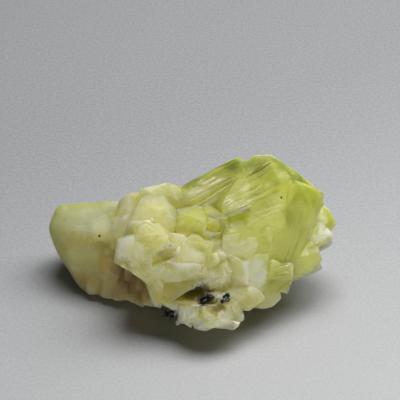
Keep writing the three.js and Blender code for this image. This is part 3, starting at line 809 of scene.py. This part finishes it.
def relief(points):
    """How far the surface stands out at each point, all in millimetres."""
    x, y, z = points.T
    in_fan = ramp(x - (14 - z) * 1.2, -3, 2)
    in_left = in_left_crystal(points)
    in_lip = ramp(6.5 - np.linalg.norm(points - np.array(LIP), axis=1), 0, 2)
    across = np.cross(points - np.array(STEEP_ROOT), np.array(STEEP_LAY))
    off_steep = np.linalg.norm(across, axis=1)
    in_steep = ramp(3.6 - off_steep, 0, 1.5) * ramp(y + z, 0, 5)
    rises = np.empty(len(points))
    parts = zip(points, in_fan, in_left, in_lip, in_steep)
    for i, (place, fan, left, lip, steep) in enumerate(parts):
        point = Vector(place)
        striped = 0.03 + 0.15 * ramp(noise.noise(point * 0.22), -0.1, 0.4)

        # Low waves everywhere.
        rise = 0.14 * noise.noise(point * 0.35) + 0.04 * noise.noise(point * 1.1)

        # Furrows and growth steps along the fan, and weaker ones along its steep crystal.
        if fan > 0:
            if steep < 1:
                rise += fan * (1 - steep) * (
                    striped * furrows(point, FAN_ROOT, FAN_LAY, 0.7, 0.05)
                    + 0.07 * terraces(point, FAN_ROOT, FAN_LAY, 3)
                )
            if steep > 0:
                rise += fan * steep * (
                    0.2 * striped * furrows(point, STEEP_ROOT, STEEP_LAY, 0.9, 0.05)
                    + 0.035 * terraces(point, STEEP_ROOT, STEEP_LAY, 3)
                )

        # Soft swells on the left crystal, grains on the lip and growth steps in the middle.
        if left > 0:
            furrowed = 0.06 * furrows(point, FAN_ROOT, LEFT_LAY, 1.4, 0.12)
            rise += left * (furrowed + 0.4 * noise.noise(point * 0.22))
        if lip > 0:
            rise += lip * 0.08 * noise.noise(point * 2.2)
        if fan < 1 and left < 1:
            rise += (1 - fan) * (1 - left) * 0.05 * terraces(point, FAN_ROOT, LEFT_LAY, 2.2)
        rises[i] = rise
    return rises


def grow_small_crystals(solid, material):
    """Scatters small crystals in their places on a closed piece, and joins them to it."""
    group, names = scatter_tree()
    seed_crystal = broken_bit("seed_crystal", (0, 0, 0), [half * MM for half in SEED_CRYSTAL], 5, 14)
    for centre, reach, spacing, smallest, largest, seed in SCATTERED:
        host = new_object("host", solid.data.copy())
        grow = host.modifiers.new("grow", "NODES")
        grow.node_group = group
        grow[names["Crystal"]] = seed_crystal
        grow[names["Material"]] = material
        grow[names["Centre"]] = Vector(centre) * MM
        grow[names["Reach"]] = Vector(reach) * MM
        grow[names["Spacing"]] = spacing * MM
        grow[names["Smallest"]] = smallest
        grow[names["Largest"]] = largest
        grow[names["Seed"]] = seed
        host.data = evaluated_mesh(host)
        host.data.materials.clear()
        united(solid, host)
    bpy.data.objects.remove(seed_crystal)


def longest_edge(middles):
    """The longest edge allowed around each point of the crystals."""
    x, y, z = middles.T / MM
    from_lip = np.linalg.norm(middles / MM - np.array(LIP), axis=1)
    parts = [z < 3.2, x < -10, from_lip < 6, y > 7]
    details = [UNDERSIDE_DETAIL, LEFT_DETAIL, LIP_DETAIL, BACK_DETAIL]
    return MM * np.select(parts, details, FRONT_DETAIL)


def crystals():
    """All the brazilianite as one closed mesh."""
    solid = merged_copy(CLUSTER, "crystals")
    material = crystal_material()
    grow_small_crystals(solid, material)
    points, triangles = cut_fine(*read_mesh(solid.data), longest_edge)

    # Edges are worn a little everywhere, and much more on the left crystal and in the gap beside it.
    from_gap = np.linalg.norm(points / MM - np.array(GAP), axis=1)
    wear = 0.04 + 0.4 * np.maximum(in_left_crystal(points / MM), ramp(from_gap, 4, 2.5))
    points = softened(points, triangles, wear, 10)
    worn = write_mesh("worn", points, triangles)

    points = points + normals_of(worn) * relief(points / MM)[:, None] * MM
    points[:, 2] = np.maximum(points[:, 2], 0.0)
    solid.data = finished_mesh("crystals", points, triangles, CRYSTAL_EDGE, material)
    write_stands_out(solid.data, triangles)
    return solid


def black_grain(node, material, seed):
    """A grain of schorl: a knot of small broken prisms that fills its pit."""
    core = merged_copy(node, node.replace("schorl_grain", "black_grain"))
    points = np.array([tuple(v.co) for v in core.data.vertices])
    middle = points.mean(axis=0)
    shrunk = middle + (points - middle) * GRAIN_CORE
    core.data.vertices.foreach_set("co", shrunk.ravel())
    chance = random.Random(seed)

    # Each bit sits just inside a corner of the grain, and has half sizes of its own.
    for i in range(GRAIN_BITS):
        outermost = points[chance.randrange(len(points))]
        centre = middle + (outermost - middle) * chance.uniform(0.7, 0.95)
        size = [chance.uniform(0.22, 0.5) * MM for _ in range(3)]
        united(core, broken_bit(f"bit_{i}", centre, size, seed * 100 + i, 10))

    points, triangles = cut_fine(*read_mesh(core.data), lambda middles: SCHORL_DETAIL * MM)
    core.data = finished_mesh(core.name, points, triangles, SCHORL_EDGE, material)
    return core


# ---------------------------------------------------------------- the stage


def looking_at(thing, place, aim):
    """Puts a lamp or a camera in its place, pointed at the aim."""
    thing.location = place
    thing.rotation_euler = (aim - place).to_track_quat("-Z", "Y").to_euler()
    bpy.context.scene.collection.objects.link(thing)


def soft_box(name, place, aim, size, power):
    """A soft lamp with a flat square or oblong front."""
    lamp = bpy.data.lights.new(name, "AREA")
    lamp.shape = "RECTANGLE"
    lamp.size, lamp.size_y = size
    lamp.energy = power
    looking_at(bpy.data.objects.new(name, lamp), place, aim)


def studio():
    """Camera, lamps, sky and floor."""
    low, high = CAD_BOX
    middle = (low + high) / 2
    elevation = math.radians(CAMERA_ELEVATION)
    towards_camera = Vector((0, -math.cos(elevation), math.sin(elevation)))
    aim = CAMERA_AIM * MM
    lens = bpy.data.cameras.new("camera")
    lens.sensor_width = CAMERA_SENSOR
    lens.lens = CAMERA_SENSOR * CAMERA_DISTANCE / CAMERA_FIELD
    lens.clip_start = 0.01
    camera = bpy.data.objects.new("camera", lens)
    looking_at(camera, aim + CAMERA_DISTANCE * MM * towards_camera, aim)
    bpy.context.scene.camera = camera

    # Lamps: place, from the middle of the cluster, and size in metres, and power in watts.
    soft_box("window", middle + Vector((0.02, 0.08, 0.26)), middle, (0.15, 0.15), 0.58)
    soft_box("second window", middle + Vector((0.14, 0.08, 0.22)), middle, (0.15, 0.15), 0.41)
    soft_box("card", middle + Vector((0.02, -0.33, 0.004)), middle, (0.6, 0.025), 0.54)
    sky = bpy.data.worlds.new("sky")
    bpy.context.scene.world = sky
    sky.use_nodes = True
    background = sky.node_tree.nodes["Background"]
    background.inputs["Color"].default_value = (0.95, 0.97, 1, 1)
    background.inputs["Strength"].default_value = 0.02

    bpy.ops.mesh.primitive_plane_add(size=1.6, location=(0, 0, 0))
    floor = bpy.context.object
    floor.name = "floor"
    floor.data.materials.append(floor_material())


# ---------------------------------------------------------------- put together

studio()

cluster = crystals()
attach(cluster, BODY)
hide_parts(CLUSTER)

schorl = schorl_material()
for seed, node in enumerate(GRAINS, 1):
    grain = black_grain(node, schorl, seed)
    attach(grain, BODY)
    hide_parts(node)

view = bpy.context.scene.view_settings
view.view_transform = "Standard"
